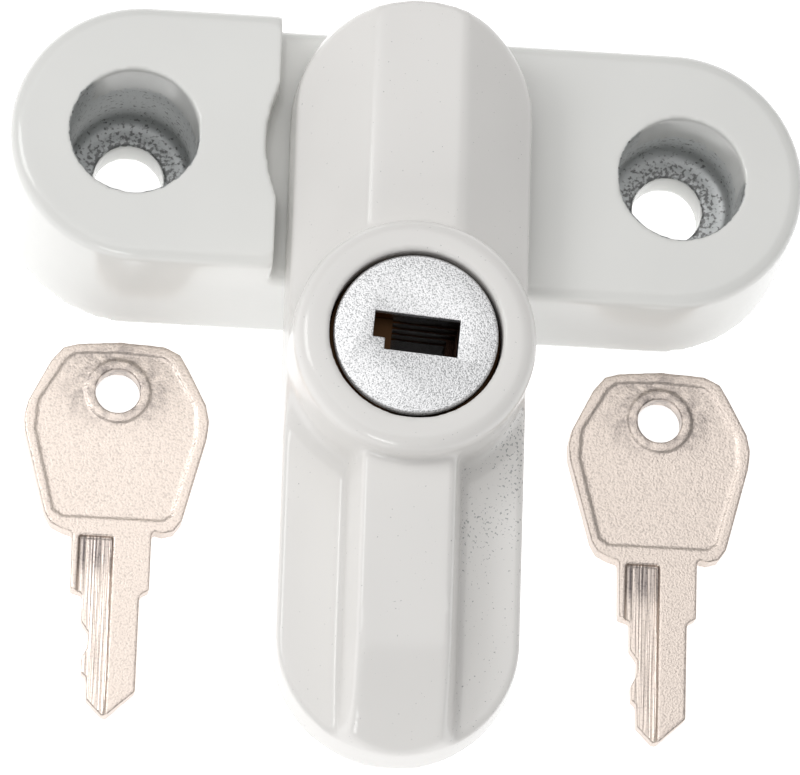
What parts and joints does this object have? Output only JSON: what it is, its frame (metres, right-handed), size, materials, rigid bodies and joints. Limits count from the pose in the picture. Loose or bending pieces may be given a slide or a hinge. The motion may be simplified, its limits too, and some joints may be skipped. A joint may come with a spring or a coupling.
{
  "type": "keyed window lock",
  "caption": "Window lock: obround base with screw seats and a stop block, swinging ridged arm with a keyed wafer cylinder in a round boss, and loose flat keys.",
  "frame": {"origin": "on the arm's pivot axis, in the base's mounting plane", "axes": "+Z out of the window frame along the pivot, +X along the base away from the stop block, -Y along the arm at rest"},
  "size_m": [0.0742, 0.07, 0.0277],
  "materials": {
    "white_enamel": "glossy white powder coat on a zinc casting",
    "satin_chrome": "fine blasted satin chrome",
    "nickel": "nickel plate on a stamped steel blank",
    "brass": "plain machined brass",
    "zinc_steel": "zinc-plated steel",
    "spring_steel": "dark spring steel",
    "nylon": "natural moulded nylon"
  },
  "bodies": {
    "base": {"base_body": "white_enamel", "pivot_post": "zinc_steel", "thrust_washer": "nylon", "lock_ring": "zinc_steel", "post_clip": "spring_steel"},
    "arm": {"arm_shell": "white_enamel", "arm_plate": "zinc_steel", "wave_washer": "spring_steel", "plate_screw_1": "zinc_steel", "plate_screw_2": "zinc_steel", "sash_pad": "nylon", "pad_screw": "zinc_steel", "housing_pin": "zinc_steel", "barrel_housing": "brass"},
    "plug": {"plug": "satin_chrome", "plug_clip": "spring_steel", "cam": "zinc_steel", "wafer_spring_1": "spring_steel", "wafer_spring_2": "spring_steel", "wafer_spring_3": "spring_steel", "wafer_spring_4": "spring_steel"},
    "bolt": {"lock_bolt": "zinc_steel", "bolt_spring_1": "spring_steel", "bolt_spring_2": "spring_steel"},
    "wafer_1": {"wafer_1": "brass"},
    "wafer_2": {"wafer_2": "brass"},
    "wafer_3": {"wafer_3": "brass"},
    "wafer_4": {"wafer_4": "brass"},
    "key_1": {"key_1": "nickel"},
    "key_2": {"key_2": "nickel"}
  },
  "joints": [
    {"name": "arm_swing", "type": "hinge", "parent": "base", "child": "arm", "pos_m": [0, 0, 0], "axis": [0, 0, 1], "range_deg": [0, 180]},
    {"name": "plug_turn", "type": "hinge", "parent": "arm", "child": "plug", "pos_m": [0, -0.0205, 0], "axis": [0, 0, 1], "range_deg": [0, 90]},
    {"name": "bolt_slide", "type": "slide", "parent": "arm", "child": "bolt", "axis": [0, 1, 0], "range_m": [0, 0.0022]},
    {"name": "wafer_1_slide", "type": "slide", "parent": "plug", "child": "wafer_1", "axis": [0.9976, -0.0698, 0], "range_m": [0, 0.0008], "stiffness_N_per_m": 20},
    {"name": "wafer_2_slide", "type": "slide", "parent": "plug", "child": "wafer_2", "axis": [0.9976, -0.0698, 0], "range_m": [0, 0.0008], "stiffness_N_per_m": 20},
    {"name": "wafer_3_slide", "type": "slide", "parent": "plug", "child": "wafer_3", "axis": [0.9976, -0.0698, 0], "range_m": [0, 0.0008], "stiffness_N_per_m": 20},
    {"name": "wafer_4_slide", "type": "slide", "parent": "plug", "child": "wafer_4", "axis": [0.9976, -0.0698, 0], "range_m": [0, 0.0008], "stiffness_N_per_m": 20},
    {"name": "key_1_lift", "type": "slide", "parent": "base", "child": "key_1", "axis": [0, 0, 1], "range_m": [0, 0.03]},
    {"name": "key_2_lift", "type": "slide", "parent": "base", "child": "key_2", "axis": [0, 0, 1], "range_m": [0, 0.03]}
  ],
  "couplings": [
    {"joint": "bolt_slide", "follows": "plug_turn", "m_per_rad": 0.0014}
  ]
}
